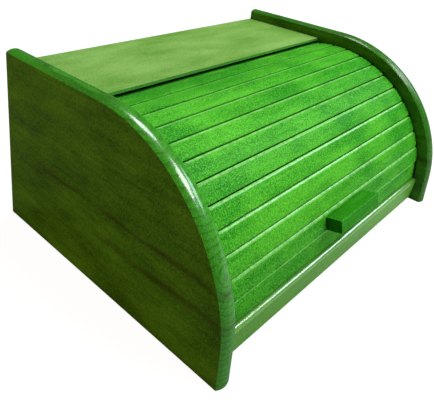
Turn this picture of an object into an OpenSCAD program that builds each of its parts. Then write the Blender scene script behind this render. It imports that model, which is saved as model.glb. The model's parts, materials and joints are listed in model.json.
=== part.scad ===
// Roll-top bread bin: a wooden case with a slatted shutter that slides in curved grooves.
// X runs across the width, the front faces -Y, and Z is up from the surface the bin stands on.

/* [Case] */
// Overall width
case_w = 390; // [340:1:440]
// Overall depth
case_d = 286; // [284:1:300]
// Overall height
case_h = 176; // [174:1:182]
// Thickness of each side panel
side_t = 20; // [18:0.5:24]
// Radius of the round front corner of a side panel
front_r = 145; // [143:1:146]
// Radius of the bullnosed edge of a side panel, whose crest is nearer the left face
edge_r = 12.5; // [10:0.5:13]

/* [Boards] */
// Thickness of the top and bottom boards
board_t = 9; // [8:0.5:10]
// Drop from the top of the side panels to the top board
top_drop = 13; // [12:0.5:14]
// Distance from the shutter's axis back to the front edge of the top board
top_front = 30; // [28:0.5:36]
// Thickness left at the front edge of the top board
top_nose_t = 3; // [2.5:0.25:4]
// Length of the slope under the front edge of the top board
top_slope = 21; // [18:1:26]
// Height of the bottom board and the front rail above the ground
bottom_lift = 3; // [1:0.5:4]
// Thickness of the back panel
back_t = 6; // [4:0.5:7]
// Depth of the rebate that holds the back panel in each side
rebate = 8; // [6:0.5:10]

/* [Front rail] */
// Height of the rail's top above the ground
rail_top = 29; // [28:0.5:29]
// Thickness of the front rail
rail_t = 14; // [12:0.5:16]
// Distance from the shutter's axis to the foot of the rail's front face
rail_front = 129; // [127:0.5:130]
// Forward lean of the rail's front face
rail_lean = 6.5; // [5:0.5:7.5]
// Radius of the rail's rounded top front edge
rail_r = 4; // [3:0.5:5]

/* [Shutter] */
// Radius from the shutter's axis to the face of the slats
shutter_r = 129; // [128:0.25:129.5]
// Number of slats
slat_count = 13; // [13:1:13]
// Angle from one slat to the next
slat_step = 8.3; // [8.2:0.05:8.4]
// Angle that the wider closing slat covers
lead_step = 9.7; // [9.5:0.1:9.8]
// Angle of the closing slat's lower edge, below the axis
lead_angle = 0.4; // [0.2:0.1:0.4]
// Thickness of a slat
slat_t = 7; // [6:0.5:7]
// How far the face of the closing slat is set back
lead_set_back = 2; // [0:0.5:2]
// Radius of the eased edges on the face of a slat
slat_ease = 1.4; // [0.5:0.1:2]
// Gap between a slat's shoulder and the side panel
shoulder_gap = 3; // [1.5:0.5:4]
// Thickness of the tongue on the end of a slat
tongue_t = 4.2; // [3.5:0.1:4.2]
// Reach of a tongue into the groove
tongue_reach = 6; // [4:0.5:7]
// Thickness of the canvas glued to the slats
canvas_t = 0.6; // [0.4:0.1:1]
// Angle the shutter turns when it opens fully
open_angle = 78; // [60:1:78]

/* [Handle] */
// Length of the handle
handle_len = 72; // [50:1:100]
// How far the handle stands out from its slat
handle_out = 15.5; // [12:0.5:16]
// Height of the handle
handle_h = 12; // [10:0.5:12]
// How far the middle of the handle sits below the middle of its slat
handle_drop = 1.75; // [0:0.25:1.75]
// Width of the bevel along the front edges of the handle
handle_ease = 0.8; // [0.4:0.1:2]

/* [Fixings] */
// Diameter of the wooden dowels
dowel_d = 6; // [5:0.5:6]
// Length of the wooden dowels
dowel_len = 24; // [18:1:28]
// Diameter of the screws
screw_d = 3; // [2.5:0.5:3.5]
// Length of the back panel screws
back_screw_len = 12; // [10:1:13]
// Length of the handle screws
handle_screw_len = 17; // [14:1:19]

/* [Hidden] */
$fn = 96;
eps = 1;               // how far a cutting shape runs past a face
fit_gap = 0.05;        // radial room around a dowel or a screw
groove_gap = 0.4;      // room beside a tongue in its groove
end_gap = 0.5;         // room past the end of a dowel or a tongue
groove_spare = 1;      // angle of groove left free below the lowest tongue
groove_sink = 0.05;    // keeps the groove's round ends from just grazing its walls
rough = 3;             // wood left around a side panel before its edge is shaped
edge_sink = 0.1;       // keeps the edge curve from just grazing the inner face
canvas_side = 6;       // bare strip of slat at each edge of the canvas

inner_x = case_w / 2 - side_t;
arc_z = case_h - front_r;
arc_y = front_r - case_d / 2;

axis_z = arc_z;
slat_back = shutter_r - slat_t;
slat_gap = 0.1;
tongue_low = slat_back + 1.4;
tongue_w = slat_width(slat_count) - 1.3;
groove_low = tongue_low - groove_gap;
groove_high = norm([tongue_low + tongue_t, tongue_w / 2]) + groove_gap;
groove_mid = (groove_low + groove_high) / 2;
groove_depth = tongue_reach + 2 * end_gap;
tongue_half_angle = atan(tongue_w / 2 / groove_mid);
groove_start = slat_angle(1) - tongue_half_angle - groove_spare;
groove_end = slat_angle(slat_count) + tongue_half_angle + open_angle;

top_z = case_h - top_drop;
back_y = case_d / 2;
panel_y = back_y - back_t;
rail_back = rail_front - rail_t;
handle_slat = 2;
handle_screw_x = handle_len / 2 - 14;
screw_head_d = 2 * screw_d;
screw_head_h = screw_d / 2;

top_dowel_z = top_z - board_t / 2;
bottom_dowel_z = bottom_lift + board_t / 2;
top_dowel_y = [62, 96, 130];
bottom_dowel_y = [-90, 0, 90];
rail_dowel_z = [9, 18];
rail_dowel_y = -(rail_back + 3.5);
side_screw_z = [22, 85, 138];
bottom_screw_x = [-120, 0, 120];

side_green = [0.20, 0.33, 0.08];
board_green = [0.45, 0.66, 0.30];
slat_green = [0.28, 0.62, 0.20];
beech = [0.80, 0.66, 0.46];
cloth = [0.75, 0.72, 0.62];
steel = [0.70, 0.71, 0.73];

// Angle that slat n covers: the closing slat is wider than the others.
function slat_span(n) = n == 1 ? lead_step : slat_step;

// Middle angle of slat n, counted up from level with the axis at the front.
function slat_angle(n) = -lead_angle + (n == 1 ? lead_step / 2 : lead_step + (n - 1.5) * slat_step);

// Width of slat n on its back, which is the same all the way through.
function slat_width(n) = 2 * slat_back * tan(slat_span(n) / 2) - slat_gap;

// Puts a shape on the shutter at an angle: its X points out from the axis and its Y up the shutter.
module on_shutter(angle) {
    translate([0, 0, axis_z]) rotate([-angle, 0, 0]) rotate([90, 0, -90]) children();
}

// Stands a shape drawn in depth and height on its edge, so that it is thick along +X.
module across() {
    rotate([90, 0, 90]) children();
}

// ---- Fixings ----

module dowel_at(x, y, z) {
    nose = 1;
    translate([x - dowel_len / 2, y, z]) rotate([0, 90, 0]) {
        cylinder(d1 = dowel_d - nose, d2 = dowel_d, h = nose);
        translate([0, 0, nose]) cylinder(d = dowel_d, h = dowel_len - 2 * nose);
        translate([0, 0, dowel_len - nose]) cylinder(d1 = dowel_d, d2 = dowel_d - nose, h = nose);
    }
}

module dowel_hole_at(x, y, z) {
    length = dowel_len + 2 * end_gap;
    translate([x - length / 2, y, z]) rotate([0, 90, 0]) cylinder(r = dowel_d / 2 + fit_gap, h = length);
}

module top_dowel_places() {
    for (side = [-1, 1], y = top_dowel_y) translate([side * inner_x, y, top_dowel_z]) children();
}

module bottom_dowel_places() {
    for (side = [-1, 1], y = bottom_dowel_y) translate([side * inner_x, y, bottom_dowel_z]) children();
}

module rail_dowel_places() {
    for (side = [-1, 1], z = rail_dowel_z) translate([side * inner_x, rail_dowel_y, z]) children();
}

// A countersunk screw along +Z, with the top of its head at the origin and its point below.
module screw(length) {
    point = screw_d;
    slot_w = 0.8;
    difference() {
        union() {
            translate([0, 0, -screw_head_h]) cylinder(d1 = screw_d, d2 = screw_head_d, h = screw_head_h);
            translate([0, 0, point - length]) cylinder(d = screw_d, h = length - point - screw_head_h);
            translate([0, 0, -length]) cylinder(d1 = 0.6, d2 = screw_d, h = point);
        }
        for (turn = [0, 90]) {
            rotate([0, 0, turn]) cube([screw_d, slot_w, 1.6], center = true);
        }
    }
}

module screw_hole(length) {
    translate([0, 0, -length - end_gap]) cylinder(r = screw_d / 2 + fit_gap, h = length + 2 * end_gap);
    translate([0, 0, -screw_head_h - fit_gap]) {
        cylinder(
            d1 = screw_d + 2 * fit_gap,
            d2 = screw_head_d + 4 * fit_gap,
            h = screw_head_h + 2 * fit_gap
        );
    }
}

module back_screw_places() {
    for (side = [-1, 1], z = side_screw_z) {
        translate([side * (inner_x + rebate / 2), back_y, z]) rotate([-90, 0, 0]) children();
    }
    for (x = bottom_screw_x) {
        translate([x, back_y, bottom_dowel_z]) rotate([-90, 0, 0]) children();
    }
}

module handle_screw_places() {
    on_shutter(slat_angle(handle_slat)) {
        for (side = [-1, 1]) {
            translate([slat_back, -handle_drop, side * handle_screw_x]) rotate([0, -90, 0]) children();
        }
    }
}

// ---- Case ----

// Section of the wood cut away to shape a side panel's edge: X is outwards, Y runs from the inner face.
module edge_waste(curve_y) {
    difference() {
        translate([-edge_r, -eps]) square([edge_r + rough + eps, side_t + 2 * eps]);
        translate([-edge_r, curve_y]) circle(edge_r);
    }
}

// Outline of a rough side panel in depth and height, before its edge is shaped.
module rough_outline() {
    top = case_h + rough;
    front = -case_d / 2 - rough;
    translate([arc_y, arc_z]) circle(front_r + rough, $fn = 180);
    translate([arc_y, 0]) square([back_y - arc_y, top]);
    translate([front, 0]) square([arc_y - front, arc_z]);
}

// The rough outline, without what its circle adds behind the back or under the foot.
module side_outline() {
    intersection() {
        rough_outline();
        translate([-case_d, 0]) square([case_d + back_y, 2 * case_h]);
    }
}

module waste_along_top(curve_y) {
    translate([inner_x, arc_y, case_h]) rotate([-90, -90, 0]) {
        linear_extrude(back_y - arc_y + eps) edge_waste(curve_y);
    }
}

module waste_round_corner(curve_y) {
    translate([0, arc_y, arc_z]) rotate([90, 0, -90]) {
        rotate_extrude(angle = 90, $fn = 180) {
            translate([front_r, -inner_x]) mirror([0, 1]) edge_waste(curve_y);
        }
    }
}

module waste_down_front(curve_y) {
    translate([inner_x, arc_y - front_r, -eps]) rotate([0, 0, -90]) {
        linear_extrude(arc_z + eps) edge_waste(curve_y);
    }
}

// The groove that the tongues run in, open at the inner face of the right side.
module groove() {
    on_shutter(groove_start) {
        rotate_extrude(angle = groove_end - groove_start, $fn = 180) {
            translate([groove_low, -inner_x - groove_depth]) {
                square([groove_high - groove_low, groove_depth + eps]);
            }
        }
    }
    for (angle = [groove_start, groove_end]) {
        on_shutter(angle) translate([groove_mid, 0, -inner_x - groove_depth]) {
            cylinder(r = (groove_high - groove_low) / 2 + groove_sink, h = groove_depth + eps);
        }
    }
}

// A side standing at the right, with the middle of its edge curve at a distance from its inner face.
module right_side(curve_y) {
    difference() {
        translate([inner_x, 0, 0]) across() linear_extrude(side_t) side_outline();
        waste_along_top(curve_y);
        waste_round_corner(curve_y);
        waste_down_front(curve_y);
        groove();
        translate([inner_x - eps, panel_y, -eps]) {
            cube([rebate + eps, back_t + eps, top_z - board_t + eps]);
        }
        top_dowel_places() dowel_hole_at(0, 0, 0);
        bottom_dowel_places() dowel_hole_at(0, 0, 0);
        rail_dowel_places() dowel_hole_at(0, 0, 0);
        back_screw_places() screw_hole(back_screw_len);
    }
}

module right_side_panel() {
    color(side_green) right_side(side_t - edge_r + edge_sink);
}

module left_side_panel() {
    color(side_green) mirror([1, 0, 0]) right_side(edge_r - edge_sink);
}

module top_board() {
    under = top_z - board_t;
    nose = top_z - top_nose_t;
    color(board_green) difference() {
        translate([-inner_x, 0, 0]) across() linear_extrude(2 * inner_x) {
            polygon([
                [top_front, top_z], [back_y, top_z], [back_y, under],
                [top_front + top_slope, under], [top_front, nose]
            ]);
        }
        top_dowel_places() dowel_hole_at(0, 0, 0);
    }
}

module bottom_board() {
    color(board_green) difference() {
        translate([-inner_x, -rail_back, bottom_lift]) cube([2 * inner_x, rail_back + panel_y, board_t]);
        bottom_dowel_places() dowel_hole_at(0, 0, 0);
        back_screw_places() screw_hole(back_screw_len);
    }
}

module back_panel() {
    room = 0.1;
    color(board_green) difference() {
        translate([-inner_x - rebate + room, panel_y, 0]) {
            cube([2 * (inner_x + rebate - room), back_t, top_z - board_t - room]);
        }
        back_screw_places() screw_hole(back_screw_len);
    }
}

// Section of the front rail in depth and height, with a round nose inside its sharp outline.
module rail_section() {
    back_cut = 2;
    nose_z = rail_top - rail_r;
    nose_y = (rail_r - (nose_z - bottom_lift) * sin(rail_lean)) / cos(rail_lean) - rail_front;
    top_y = -rail_front - (rail_top - bottom_lift) * tan(rail_lean);
    intersection() {
        polygon([
            [-rail_front, bottom_lift], [top_y, rail_top], [-rail_back - back_cut, rail_top],
            [-rail_back, rail_top - back_cut], [-rail_back, bottom_lift]
        ]);
        union() {
            translate([nose_y, nose_z]) circle(rail_r + edge_sink);
            translate([nose_y, 0]) square([rail_front, rail_top + eps]);
            translate([-2 * rail_front, 0]) square([2 * rail_front, nose_z]);
        }
    }
}

module front_rail() {
    color(slat_green) difference() {
        translate([-inner_x, 0, 0]) across() linear_extrude(2 * inner_x) rail_section();
        rail_dowel_places() dowel_hole_at(0, 0, 0);
    }
}

// ---- Shutter ----

// Section of a slat: X is outwards and Y up the shutter.
module slat_section(width, face) {
    translate([slat_back, -width / 2]) square([face - slat_back - slat_ease, width]);
    translate([slat_back, slat_ease - width / 2]) square([face - slat_back, width - 2 * slat_ease]);
    for (side = [-1, 1]) {
        translate([face - slat_ease, side * (width / 2 - slat_ease)]) circle(slat_ease);
    }
}

module slat(n) {
    face = n == 1 ? shutter_r - lead_set_back : shutter_r;
    tongue_high = min(tongue_low + tongue_t, face - 0.6);
    body_len = 2 * (inner_x - shoulder_gap);
    full_len = 2 * (inner_x + tongue_reach);
    color(slat_green) difference() {
        on_shutter(slat_angle(n)) {
            linear_extrude(body_len, center = true) slat_section(slat_width(n), face);
            linear_extrude(full_len, center = true) {
                translate([tongue_low, -tongue_w / 2]) square([tongue_high - tongue_low, tongue_w]);
            }
        }
        if (n == handle_slat) handle_screw_places() screw_hole(handle_screw_len);
    }
}

// The bend of the cloth between slats n and n + 1, whose backs lie at a distance from the axis; the
// first and last of these points are the ends of the cloth.
function cloth_point(n, distance) =
    let (
        low = n == 0 ? slat_angle(1) - slat_span(1) : slat_angle(n),
        high = n == slat_count ? slat_angle(n) + slat_step : slat_angle(n + 1),
        middle = (low + high) / 2
    )
    distance / cos((high - low) / 2) * [cos(middle), sin(middle)];

// The cloth follows the flat backs of the slats, so its section is a run of straight lengths.
module canvas_backing() {
    outer = slat_back - fit_gap;
    inner = outer - canvas_t;
    color(cloth) on_shutter(0) {
        linear_extrude(2 * (inner_x - shoulder_gap - canvas_side), center = true) {
            polygon(concat(
                [for (n = [0 : slat_count]) cloth_point(n, outer)],
                [for (n = [slat_count : -1 : 0]) cloth_point(n, inner)]
            ));
        }
    }
}

// Section of the handle, with its back on the face of its slat.
module handle_section() {
    low = -handle_h / 2 - handle_drop;
    high = handle_h / 2 - handle_drop;
    polygon([
        [0, low], [handle_out - handle_ease, low], [handle_out, low + handle_ease],
        [handle_out, high - handle_ease], [handle_out - handle_ease, high], [0, high]
    ]);
}

module handle() {
    color(slat_green) difference() {
        on_shutter(slat_angle(handle_slat)) translate([shutter_r, 0, 0]) {
            linear_extrude(handle_len, center = true) handle_section();
        }
        handle_screw_places() screw_hole(handle_screw_len);
    }
}

module handle_screws() {
    color(steel) handle_screw_places() screw(handle_screw_len);
}

module top_board_dowels() {
    color(beech) top_dowel_places() dowel_at(0, 0, 0);
}

module bottom_board_dowels() {
    color(beech) bottom_dowel_places() dowel_at(0, 0, 0);
}

module front_rail_dowels() {
    color(beech) rail_dowel_places() dowel_at(0, 0, 0);
}

module back_panel_screws() {
    color(steel) back_screw_places() screw(back_screw_len);
}

left_side_panel();
right_side_panel();
top_board();
bottom_board();
back_panel();
front_rail();
slat(1);  // slat_01
slat(2);  // slat_02
slat(3);  // slat_03
slat(4);  // slat_04
slat(5);  // slat_05
slat(6);  // slat_06
slat(7);  // slat_07
slat(8);  // slat_08
slat(9);  // slat_09
slat(10);  // slat_10
slat(11);  // slat_11
slat(12);  // slat_12
slat(13);  // slat_13
canvas_backing();
handle();
handle_screws();
top_board_dowels();
bottom_board_dowels();
front_rail_dowels();
back_panel_screws();
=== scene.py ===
"""Roll-top bread bin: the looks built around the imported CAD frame, in metres."""

import json
import math
import random

import bmesh
import bpy
from mathutils import Matrix, Vector, noise


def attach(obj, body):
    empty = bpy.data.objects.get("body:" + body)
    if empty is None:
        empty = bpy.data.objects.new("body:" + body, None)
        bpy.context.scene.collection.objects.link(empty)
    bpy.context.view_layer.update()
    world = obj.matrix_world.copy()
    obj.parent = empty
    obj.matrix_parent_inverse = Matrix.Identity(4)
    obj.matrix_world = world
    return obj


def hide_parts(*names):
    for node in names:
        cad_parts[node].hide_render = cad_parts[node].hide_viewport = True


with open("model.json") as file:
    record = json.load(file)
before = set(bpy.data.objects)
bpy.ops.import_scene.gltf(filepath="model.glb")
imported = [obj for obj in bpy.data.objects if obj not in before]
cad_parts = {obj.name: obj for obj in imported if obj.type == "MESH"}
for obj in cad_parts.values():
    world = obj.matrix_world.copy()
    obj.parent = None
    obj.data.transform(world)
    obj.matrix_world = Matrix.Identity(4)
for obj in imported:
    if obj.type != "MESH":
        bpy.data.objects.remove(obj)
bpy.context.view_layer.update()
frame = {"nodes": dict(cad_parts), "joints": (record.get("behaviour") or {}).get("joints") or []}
nodes = frame["nodes"]
MM = 0.001


# ---- Node trees ----

class Tree:
    """A short way to write a material's node tree."""

    def __init__(self, name):
        self.material = bpy.data.materials.new(name)
        self.material.use_nodes = True
        self.nodes = self.material.node_tree.nodes
        self.links = self.material.node_tree.links
        self.nodes.clear()
        self.place = self.add("ShaderNodeTexCoord").outputs["Object"]

    def add(self, kind, **settings):
        node = self.nodes.new(kind)
        for key, value in settings.items():
            setattr(node, key, value)
        return node

    def put(self, socket, value):
        if isinstance(value, bpy.types.NodeSocket):
            self.links.new(value, socket)
        else:
            socket.default_value = value

    def math(self, operation, a, b=0.0):
        node = self.add("ShaderNodeMath", operation=operation)
        self.put(node.inputs[0], a)
        self.put(node.inputs[1], b)
        return node.outputs[0]

    def vector(self, operation, a, b):
        node = self.add("ShaderNodeVectorMath", operation=operation)
        self.put(node.inputs[0], a)
        self.put(node.inputs[1], b)
        return node.outputs["Vector"]

    def split(self, a):
        """The X, Y and Z sockets of a vector."""
        node = self.add("ShaderNodeSeparateXYZ")
        self.put(node.inputs[0], a)
        return node.outputs

    def length(self, a):
        node = self.add("ShaderNodeVectorMath", operation="LENGTH")
        self.put(node.inputs[0], a)
        return node.outputs["Value"]

    def noise(self, place, scale, detail=3.0, rough=0.55):
        node = self.add("ShaderNodeTexNoise")
        self.put(node.inputs["Vector"], place)
        self.put(node.inputs["Scale"], scale)
        self.put(node.inputs["Detail"], detail)
        self.put(node.inputs["Roughness"], rough)
        return node.outputs["Fac"]

    def spread(self, value, low, high, to_low=0.0, to_high=1.0):
        node = self.add("ShaderNodeMapRange", clamp=True)
        self.put(node.inputs["Value"], value)
        self.put(node.inputs["From Min"], low)
        self.put(node.inputs["From Max"], high)
        self.put(node.inputs["To Min"], to_low)
        self.put(node.inputs["To Max"], to_high)
        return node.outputs["Result"]

    def mix(self, amount, a, b):
        node = self.add("ShaderNodeMix", data_type="RGBA")
        self.put(node.inputs["Factor"], amount)
        for key, value in (("A", a), ("B", b)):
            socket = next(s for s in node.inputs if s.name == key and s.type == "RGBA")
            self.put(socket, value if isinstance(value, bpy.types.NodeSocket) else (*value, 1.0))
        return next(s for s in node.outputs if s.type == "RGBA")

    def bump(self, height, distance, strength=1.0, normal=None):
        node = self.add("ShaderNodeBump")
        self.put(node.inputs["Height"], height)
        self.put(node.inputs["Distance"], distance)
        self.put(node.inputs["Strength"], strength)
        if normal is not None:
            self.put(node.inputs["Normal"], normal)
        return node.outputs["Normal"]

    def surface(self, **inputs):
        shader = self.add("ShaderNodeBsdfPrincipled")
        for key, value in inputs.items():
            if isinstance(value, tuple):
                value = (*value, 1.0)
            self.put(shader.inputs[key.replace("_", " ")], value)
        output = self.add("ShaderNodeOutputMaterial")
        self.links.new(shader.outputs["BSDF"], output.inputs["Surface"])
        return self.material


# ---- Materials ----

RING_WIDTH = 5 * MM
RING_BEND = 20 * MM
SMEAR_SWAY = 16 * MM
SMEAR_FADE = 50 * MM
# How far the painted gap shade looks for nearby surfaces.
PAINTED_SHADE_REACH = 7 * MM
EDGE_SHADE_AND_COAT_SPAN = (-0.1, 0.1)  # the round edges darken as painted shade, and their coat thins, between these places across the bin


def dim(colour, amount):
    return tuple(c * amount for c in colour)


def dark_smear(t, colour, deep, place, smear, sway_noise, break_noise):
    """A dark heart-wood smear that runs along the grain at one height and fades towards the back."""
    height, half, back = smear
    sway = t.math("MULTIPLY", t.math("SUBTRACT", sway_noise, 0.5), SMEAR_SWAY)
    off = t.math("ABSOLUTE", t.math("SUBTRACT", t.math("ADD", place["Z"], sway), height))
    across = t.spread(off, half, half * 0.2)
    stripe = t.math("MULTIPLY", across, t.spread(place["Y"], back, back - SMEAR_FADE))
    stripe = t.math("MULTIPLY", stripe, t.spread(break_noise, 0.35, 0.6, 0.15, 0.65))
    return t.mix(stripe, colour, (deep[0], deep[1] * 0.35, deep[2] * 0.6))


def growth_rings(t, place, pith, along, bend_noise):
    """Rings about the pith line, bent by slow noise; each darkens towards the end of its year."""
    end_grain = tuple(0.0 if g else 1.0 for g in along)
    flat = t.vector("MULTIPLY", t.vector("SUBTRACT", place, pith), end_grain)
    bend = t.math("MULTIPLY", bend_noise, RING_BEND)
    turn = t.math("FRACT", t.math("DIVIDE", t.math("ADD", t.length(flat), bend), RING_WIDTH))
    return t.math("MULTIPLY", t.math("POWER", turn, 3.0), t.spread(turn, 1.0, 0.93))


def stained_wood(name, pale, deep, along=(1, 0, 0), pith=(0, 0, -0.4), rings=0.3, blotch=0.5,
                 gloss=0.42, specular=0.3, speckle=0.5, haze_and_sheen=0.0, smears=(),
                 edge_coat=0.0, coat_ior=1.75, lit_edge_tone=None, front_shade_tone=None, wear_and_highlight_tone=None):
    """Green stain under satin lacquer, on wood whose grain runs along one axis of the bin.

    rings, blotch, speckle and haze are strengths from 0 to 1; the haze is partly uneven stain and
    partly a painted sheen. lit_edge_tone gives the round edges a painted lit colour, front_shade_tone
    paints shade on faces that look forward, and worn paints pale wear with a highlight on the crests
    that a piece marks.
    """
    t = Tree(name)

    # Each piece is cut from its own stretch of wood.
    own = t.add("ShaderNodeObjectInfo").outputs["Random"]
    offset = t.add("ShaderNodeCombineXYZ")
    for socket in offset.inputs:
        t.put(socket, t.math("MULTIPLY", own, 5.3))
    place = t.vector("ADD", t.place, offset.outputs[0])

    def stretched(by):
        return t.vector("MULTIPLY", place, tuple(1.0 if g else by for g in along))

    cloud = t.noise(stretched(2.5), 13.0, 3.0, 0.6)
    streak = t.noise(stretched(14.0), 14.0, 4.0, 0.6)
    fibre = t.noise(stretched(16.0), 90.0, 3.0, 0.6)
    pores = t.noise(t.place, 900.0, 1.0, 0.5)

    # How far a spot faces away from the panel's flat sides: the rubbed edges are the glossy ones.
    facing = t.split(t.add("ShaderNodeNewGeometry").outputs["Normal"])
    edge = t.spread(t.math("ABSOLUTE", facing["X"]), 0.93, 0.80)
    at = t.split(t.place)

    # The rings are strong on the edges and faint on the flat sides. Both side panels have a pith.
    mirrored = t.vector("ABSOLUTE", t.place, (0, 0, 0)) if lit_edge_tone else t.place
    late = growth_rings(t, mirrored, pith, along, t.noise(stretched(4.0), 5.0, 2.0, 0.5))
    ring = t.math("MULTIPLY", late, t.math("MULTIPLY", t.spread(edge, 0, 1, 0.15, 1.0), rings))

    # Pale haze in broad patches, partly uneven stain and partly a painted sheen, weaker and darker
    # towards the right as painted shade.
    right_shade = t.spread(at["X"], 0.0, 0.17, 0.5, 0.60)
    drift = t.math("SUBTRACT", t.noise(t.place, 17.0, 2.0, 0.45), right_shade)
    tone = t.math("ADD", t.math("MULTIPLY", cloud, blotch), t.math("MULTIPLY", streak, 1.0 - blotch))
    tone = t.math("ADD", tone, t.math("MULTIPLY", drift, haze_and_sheen))
    colour = t.mix(t.spread(tone, 0.36, 0.64), deep, pale)
    # Painted light: the round edges take the brighter edge tone while the flat faces keep the darker
    # olive, and the edges darken towards the right as painted shade.
    if lit_edge_tone:
        rim = t.mix(t.spread(at["X"], *EDGE_SHADE_AND_COAT_SPAN), lit_edge_tone, dim(lit_edge_tone, 0.4))
        colour = t.mix(t.math("MULTIPLY", edge, 0.72), colour, rim)
    # Painted shade: faces that look forward take the darker front tone.
    if front_shade_tone:
        colour = t.mix(t.spread(facing["Y"], -0.3, -0.7, 0.0, 0.9), colour, front_shade_tone)

    # Ring lines, fibres, and pores that show as dark and as pale specks.
    colour = t.mix(ring, colour, dim(deep, 0.45))
    colour = t.mix(t.spread(fibre, 0.50, 0.75, 0.0, 0.30), colour, dim(deep, 0.6))
    colour = t.mix(t.spread(pores, 0.50, 0.68, 0.0, speckle), colour, dim(deep, 0.40))
    colour = t.mix(t.spread(pores, 0.50, 0.32, 0.0, speckle), colour, dim(pale, 1.5))

    for smear in smears:
        sway_noise = t.noise(stretched(0.0), 12.0 + smear[0] * 40, 2.0)
        colour = dark_smear(t, colour, deep, at, smear, sway_noise, t.noise(stretched(3.0), 22.0))

    # Painted light and wear: edges that a piece marks turn pale, partly stain rubbed thin and partly a
    # painted highlight.
    wear_and_highlight = t.add("ShaderNodeAttribute", attribute_name="wear").outputs["Fac"]
    if wear_and_highlight_tone:
        thin = t.spread(t.noise(place, 160.0, 3.0, 0.6), 0.35, 0.6, 0.35, 1.0)
        colour = t.mix(t.math("MULTIPLY", wear_and_highlight, thin), colour, wear_and_highlight_tone)

    # Painted shade: the colour darkens in the narrow gaps that ambient occlusion finds.
    gap_shade = t.add("ShaderNodeAmbientOcclusion", samples=6)
    t.put(gap_shade.inputs["Distance"], PAINTED_SHADE_REACH)
    colour = t.mix(t.spread(gap_shade.outputs["AO"], 0.70, 0.25, 0.0, 0.50), colour, dim(deep, 0.25))

    rough = t.math("ADD", t.spread(cloud, 0.3, 0.7, gloss - 0.06, gloss + 0.08),
                   t.spread(pores, 0.3, 0.7, -0.06, 0.06))
    normal = t.bump(pores, 0.00014, 0.8)
    normal = t.bump(fibre, 0.00025, 0.5, normal)
    normal = t.bump(t.noise(t.place, 130.0, 2.0, 0.5), 0.0006, 0.35, normal)

    # The clear coat is thickest on rubbed edges, and on a rail only where it turns upwards.
    if wear_and_highlight_tone:
        coat = t.math("MULTIPLY", wear_and_highlight, 0.65)
    elif lit_edge_tone:
        coat = t.math("MULTIPLY", edge, t.spread(at["X"], *EDGE_SHADE_AND_COAT_SPAN, edge_coat, edge_coat * 0.3))
    else:
        coat = t.math("MULTIPLY", edge, t.spread(facing["Z"], 0.0, 0.3, 0.0, edge_coat))
    coat_rough = t.spread(t.noise(t.place, 320.0, 3.0), 0.3, 0.7, 0.14, 0.24)
    coat_normal = t.bump(t.noise(t.place, 260.0, 2.0, 0.5), 0.0003, 0.25)
    return t.surface(Base_Color=colour, Roughness=rough, Normal=normal, Specular_IOR_Level=specular,
                     Coat_Weight=coat, Coat_IOR=coat_ior, Coat_Roughness=coat_rough,
                     Coat_Normal=coat_normal)


def raw_beech():
    """Unstained wood of the dowels."""
    t = Tree("raw_beech")
    fibre = t.noise(t.vector("MULTIPLY", t.place, (30, 900, 900)), 1.0, 3.0, 0.6)
    colour = t.mix(t.spread(fibre, 0.3, 0.7), (0.50, 0.33, 0.18), (0.70, 0.52, 0.33))
    return t.surface(Base_Color=colour, Roughness=t.spread(fibre, 0.3, 0.7, 0.62, 0.5),
                     Normal=t.bump(fibre, 0.0002, 0.5))


def canvas():
    """Plain woven cloth with stain that bled through from the slats."""
    t = Tree("canvas")
    waves = []
    for axis in ("X", "Y"):
        wave = t.add("ShaderNodeTexWave", wave_type="BANDS", bands_direction=axis)
        t.put(wave.inputs["Vector"], t.place)
        t.put(wave.inputs["Scale"], 190.0)
        t.put(wave.inputs["Distortion"], 1.2)
        waves.append(wave.outputs["Fac"])
    weave = t.math("MULTIPLY", waves[0], waves[1])
    dirt = t.noise(t.place, 30.0, 4.0, 0.6)
    colour = t.mix(weave, (0.30, 0.27, 0.19), (0.58, 0.54, 0.42))
    colour = t.mix(t.spread(dirt, 0.45, 0.75, 0.0, 0.4), colour, (0.20, 0.30, 0.12))
    normal = t.bump(weave, 0.0003, 0.8)
    return t.surface(Base_Color=colour, Roughness=0.95, Normal=normal, Sheen_Weight=0.3)


def screw_steel():
    """Zinc-plated steel, scuffed by the driver."""
    t = Tree("screw_steel")
    wear = t.noise(t.place, 900.0, 4.0, 0.6)
    colour = t.mix(wear, (0.45, 0.45, 0.46), (0.72, 0.73, 0.75))
    return t.surface(Base_Color=colour, Metallic=1.0, Roughness=t.spread(wear, 0.3, 0.7, 0.25, 0.45),
                     Normal=t.bump(wear, 0.00005, 0.4))


SIDE = stained_wood(
    "stained_side", pale=(0.080, 0.310, 0.018), deep=(0.028, 0.125, 0.006), along=(0, 1, 0),
    pith=(0.187, 0, 0.088), rings=0.7, blotch=0.7, specular=0.12, speckle=0.3, edge_coat=0.9,
    lit_edge_tone=(0.030, 0.340, 0.008), smears=((0.080, 0.0040, 0.12), (0.053, 0.0050, 0.05)))
BOARD = stained_wood(
    "stained_board", pale=(0.250, 0.470, 0.105), deep=(0.150, 0.350, 0.050), rings=0.10, blotch=0.8,
    speckle=0.25, haze_and_sheen=0.4, front_shade_tone=(0.012, 0.190, 0.015))
SLAT = stained_wood(
    "stained_slat", pale=(0.085, 0.460, 0.022), deep=(0.016, 0.240, 0.007), rings=0.12, blotch=0.65,
    speckle=0.55, specular=0.10, gloss=0.5, haze_and_sheen=0.6, wear_and_highlight_tone=(0.25, 0.68, 0.16))
RAIL = stained_wood(
    "stained_rail", pale=(0.160, 0.440, 0.060), deep=(0.090, 0.320, 0.030), rings=0.0, specular=0.3,
    gloss=0.36, speckle=0.3, edge_coat=1.0, coat_ior=2.4)
HANDLE = stained_wood(
    "stained_handle", pale=(0.032, 0.275, 0.010), deep=(0.012, 0.180, 0.003), rings=0.1, specular=0.05)
BEECH = raw_beech()
CANVAS = canvas()
STEEL = screw_steel()


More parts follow.
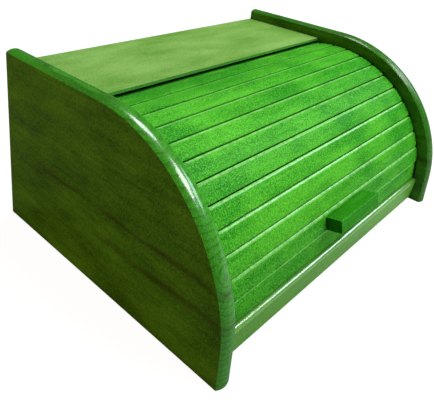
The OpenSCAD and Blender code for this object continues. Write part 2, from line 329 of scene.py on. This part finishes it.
def finish_for(name):
    """The material of a CAD node."""
    if "dowel" in name:
        return BEECH
    if "screw" in name:
        return STEEL
    if name == "canvas_backing":
        return CANVAS
    if "side_panel" in name:
        return SIDE
    if name == "front_rail":
        return RAIL
    if name == "handle":
        return HANDLE
    return BOARD if "board" in name or "back" in name else SLAT


for name, node in nodes.items():
    node.data.materials.clear()
    node.data.materials.append(finish_for(name))


# ---- Slats ----
# CORNER and RIM round a slat's outline and face, HEEL eases its back and the root of its tongues.
# The face drops by DROP over the last CROWN of its width, so each joint shows a pale upper edge, which
# the slat material also paints pale as wear and highlight.

axis = Vector(next(j for j in frame["joints"] if j["child"] == "shutter")["pos_m"])
slat_names = sorted(n for n in nodes if n.startswith("slat_"))


def middle_angle(name):
    """Angle of a slat's middle about the shutter's axis, from level at the front."""
    total = Vector()
    area = 0.0
    for face in nodes[name].data.polygons:
        total += face.center * face.area
        area += face.area
    middle = total / area - axis
    return math.atan2(middle.z, -middle.y)


def slat_place(angle):
    """Matrix whose X runs across the bin, Y up the shutter and Z out from the axis."""
    up = Vector((0, math.sin(angle), math.cos(angle)))
    out = Vector((0, -math.cos(angle), math.sin(angle)))
    place = Matrix((Vector((1, 0, 0)), up, out)).transposed().to_4x4()
    place.translation = axis
    return place


def slat_size(name, angle):
    """Half width, back, face, half length of the body and reach of the tongues of the CAD slat."""
    flat = slat_place(angle).inverted()
    spots = [flat @ v.co for v in nodes[name].data.vertices]
    reach = max(s.x for s in spots)
    face = max(s.z for s in spots)
    body = [s for s in spots if s.z > face - 0.5 * MM]
    return (max(s.y for s in spots), min(s.z for s in spots), face, max(s.x for s in body), reach)


def edges_where(bm, test):
    """Edges whose two ends both pass the test."""
    return [e for e in bm.edges if all(test(v.co) for v in e.verts)]


CORNER = 2.4 * MM
RIM = 0.5 * MM
HEEL = 0.3 * MM
CROWN = 2.8 * MM
CROWN_STEP = 0.6 * MM
DROP = 0.9 * MM
LENGTHS = 30


def slat(name, seed):
    """One slat with rounded corners, an upper edge marked for pale wear and a painted highlight, tongues
    and a slightly uneven face.
    """
    angle = middle_angle(name)
    half_w, back, face, half_body, reach = slat_size(name, angle)
    rng = random.Random(seed)

    bm = bmesh.new()
    bmesh.ops.create_cube(bm, size=1)
    for v in bm.verts:
        v.co = Vector((v.co.x * 2 * half_body, v.co.y * 2 * half_w, face if v.co.z > 0 else back))
    upright = [e for e in bm.edges if abs(e.verts[0].co.z - e.verts[1].co.z) > MM]
    bmesh.ops.bevel(bm, geom=upright, offset=CORNER, segments=4, profile=0.5, affect="EDGES")
    rim = edges_where(bm, lambda co: co.z > face - 0.01 * MM)
    bmesh.ops.bevel(bm, geom=rim, offset=RIM, segments=3, profile=0.5, affect="EDGES")
    foot = edges_where(bm, lambda co: co.z < back + 0.01 * MM)
    bmesh.ops.bevel(bm, geom=foot, offset=HEEL, segments=1, profile=0.5, affect="EDGES")

    for sign in (-1, 1):
        end = max(bm.faces, key=lambda f: (f.normal.x * sign > 0.99) * f.calc_area())
        bmesh.ops.inset_individual(bm, faces=[end], thickness=HEEL)
        tip = bmesh.ops.extrude_discrete_faces(bm, faces=[end])["faces"][0]
        bmesh.ops.translate(bm, verts=tip.verts, vec=(sign * (reach - half_body), 0, 0))

    def cut(spot, along):
        """Slice through the whole slat, so that its face can bend there."""
        whole = bm.verts[:] + bm.edges[:] + bm.faces[:]
        bmesh.ops.bisect_plane(bm, geom=whole, plane_co=spot, plane_no=along)

    for step in range(1, LENGTHS):
        cut((-half_body + step * 2 * half_body / LENGTHS, 0, 0), (1, 0, 0))
    crown = half_w - CROWN
    for step in range(4):
        cut((0, crown + step * CROWN_STEP, 0), (0, 1, 0))
    bmesh.ops.recalc_face_normals(bm, faces=bm.faces[:])

    wear = bm.verts.layers.float.new("wear")
    tilt = math.radians(rng.uniform(-0.4, 0.4))
    rise = rng.uniform(-0.10, 0.05) * MM
    for v in bm.verts:
        if v.co.z > back + 3 * MM and abs(v.co.x) < half_body + MM:
            x, y = v.co.x, v.co.y
            slope = max(0.0, (y - crown) / (half_w - crown))
            # The upper edge is marked for the pale wear and painted highlight of the slat material.
            if v.co.z > face - 1.0 * MM and abs(x) < half_body - 1.5 * MM:
                v[wear] = min(1.0, slope * 1.9)
            wave = noise.noise(Vector((x * 14 + seed * 3, y * 40, 0)))
            v.co.z += rise + y * tilt + wave * 0.12 * MM - slope * slope * DROP
    bm.transform(slat_place(angle))

    mesh = bpy.data.meshes.new(name + "_wood")
    bm.to_mesh(mesh)
    bm.free()
    mesh.materials.append(SLAT)
    mesh.set_sharp_from_angle(angle=math.radians(40))
    for polygon in mesh.polygons:
        polygon.use_smooth = True
    piece = bpy.data.objects.new(name + "_wood", mesh)
    bpy.context.scene.collection.objects.link(piece)
    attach(piece, "shutter")
    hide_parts(name)


for count, slat_name in enumerate(slat_names):
    slat(slat_name, count + 1)


# ---- Floor, light and camera ----
# LIGHTS lists name, azimuth, elevation, distance, size, power and colour. The fills only brighten,
# and no gloss shows them.

def floor():
    """A pale sheet that the camera sees almost evenly lit and that sends less light back to the left."""
    reach = 6.0
    mesh = bpy.data.meshes.new("floor")
    corners = [(-reach, -reach, 0), (reach, -reach, 0), (reach, reach, 0), (-reach, reach, 0)]
    mesh.from_pydata(corners, [], [(0, 1, 2, 3)])
    plane = bpy.data.objects.new("floor", mesh)
    bpy.context.scene.collection.objects.link(plane)
    t = Tree("pale_floor")
    seen = t.add("ShaderNodeLightPath").outputs["Is Camera Ray"]
    away = t.spread(t.split(t.place)["X"], -0.25, 0.15, 0.10, 0.45)
    grain = t.noise(t.place, 60.0, 3.0, 0.5)
    bounce = t.add("ShaderNodeCombineColor")
    for socket in bounce.inputs:
        t.put(socket, t.math("MULTIPLY", away, t.spread(grain, 0.3, 0.7, 0.97, 1.0)))
    shade = t.mix(seen, bounce.outputs[0], (0.15, 0.15, 0.15))
    mesh.materials.append(t.surface(
        Base_Color=shade, Roughness=0.9,
        Emission_Color=(1.0, 1.0, 1.0), Emission_Strength=t.math("MULTIPLY", seen, 0.96)))


def area_light(name, azimuth, elevation, distance, size, power, colour=(1, 1, 1)):
    """A soft panel, its azimuth counted from the front towards the right."""
    a, e = math.radians(azimuth), math.radians(elevation)
    out = Vector((math.sin(a) * math.cos(e), -math.cos(a) * math.cos(e), math.sin(e)))
    light = bpy.data.lights.new(name, "AREA")
    light.shape = "RECTANGLE"
    light.size, light.size_y = size
    light.energy = power
    light.color = colour
    lamp = bpy.data.objects.new(name, light)
    lamp.visible_glossy = "fill" not in name
    lamp.location = Vector((0, 0, 0.1)) + out * distance
    lamp.rotation_euler = (-out).to_track_quat("-Z", "Y").to_euler()
    bpy.context.scene.collection.objects.link(lamp)


LIGHTS = (
    ("key", 34, 54, 2.6, (1.2, 0.9), 42.0, (1.0, 1.0, 0.97)),
    ("window", 60, 32, 1.6, (0.8, 0.4), 7.0, (0.75, 0.90, 1.0)),
    ("overhead", 130, 74, 1.3, (0.5, 0.4), 8.0, (0.95, 1.0, 0.98)),
    ("glint", 20, 50, 1.8, (0.15, 0.4), 1.2, (0.80, 0.93, 1.0)),
    ("low_fill", 10, 14, 2.5, (2.2, 0.6), 21.0, (1.0, 1.0, 1.0)),
    ("left_fill", -98, 6, 1.1, (0.5, 0.2), 4.1, (1.0, 0.45, 0.21)),
)
WORLD = 0.05


def studio():
    """The lights, and a dim world that the camera alone sees as white."""
    for settings in LIGHTS:
        area_light(*settings)
    world = bpy.data.worlds.new("studio")
    world.use_nodes = True
    tree = world.node_tree
    seen = tree.nodes.new("ShaderNodeLightPath").outputs["Is Camera Ray"]
    glow = tree.nodes.new("ShaderNodeMix")
    glow.data_type = "RGBA"
    colours = [socket for socket in glow.inputs if socket.type == "RGBA"]
    colours[0].default_value = (WORLD, WORLD, WORLD * 0.8, 1)
    colours[1].default_value = (1, 1, 1, 1)
    tree.links.new(seen, glow.inputs["Factor"])
    mixed = next(socket for socket in glow.outputs if socket.type == "RGBA")
    tree.links.new(mixed, tree.nodes["Background"].inputs["Color"])
    bpy.context.scene.world = world


def drive_shift(eye, channel, amount):
    """The lens shift belongs to this view alone, so it goes once the camera stands elsewhere."""
    driver = eye.data.driver_add(channel).driver
    place = driver.variables.new()
    place.name = "at"
    place.type = "TRANSFORMS"
    place.targets[0].id = eye
    place.targets[0].transform_type = "LOC_X"
    driver.expression = f"{amount:.5f} if abs(at - {eye.location.x:.5f}) < 0.0005 else 0.0"


def camera():
    """A view from the front left and above, with the lens shifted."""
    data = bpy.data.cameras.new("camera")
    eye = bpy.data.objects.new("camera", data)
    bpy.context.scene.collection.objects.link(eye)
    eye.location = (-0.4192, -0.2978, 0.3320)
    heading, tilt, roll = math.radians(-49.15), math.radians(20.18), math.radians(5.48)
    turn = Matrix.Rotation(heading, 4, "Z") @ Matrix.Rotation(math.radians(90) - tilt, 4, "X")
    eye.rotation_euler = (turn @ Matrix.Rotation(roll, 4, "Z")).to_euler()
    data.sensor_width = 36.0
    data.lens = 43.41
    data.clip_start = 0.01
    drive_shift(eye, "shift_x", 0.0260)
    drive_shift(eye, "shift_y", -0.2759)
    bpy.context.scene.camera = eye


floor()
studio()
camera()
bpy.context.scene.view_settings.view_transform = "Standard"
